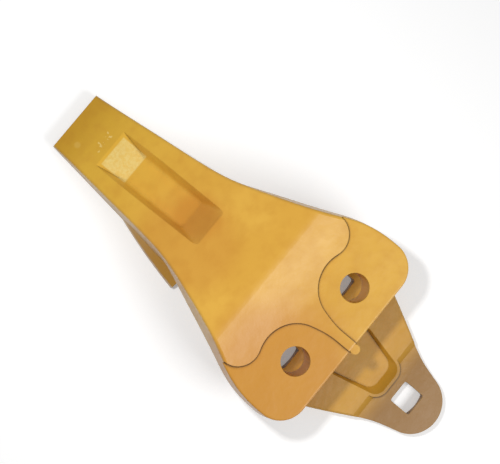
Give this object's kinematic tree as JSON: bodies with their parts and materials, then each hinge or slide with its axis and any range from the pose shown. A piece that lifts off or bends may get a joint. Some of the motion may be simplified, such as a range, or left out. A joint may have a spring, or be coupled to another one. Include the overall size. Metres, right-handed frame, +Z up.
{
  "type": "bucket tooth",
  "caption": "Bolt-on bucket tooth: wedge nose, widened deck plate and a leg plate below, with a slot between them for the bucket lip.",
  "frame": {"origin": "midway between the two deck bolt holes, on the face of the nut pads", "axes": "+X towards the digging tip, +Y to the left seen from behind, +Z up, normal to the nut pads"},
  "size_m": [0.4795, 0.213, 0.0928],
  "materials": {
    "ochre_paint": "satin"
  },
  "bodies": {
    "root": {"tooth": "ochre_paint"}
  },
  "joints": []
}
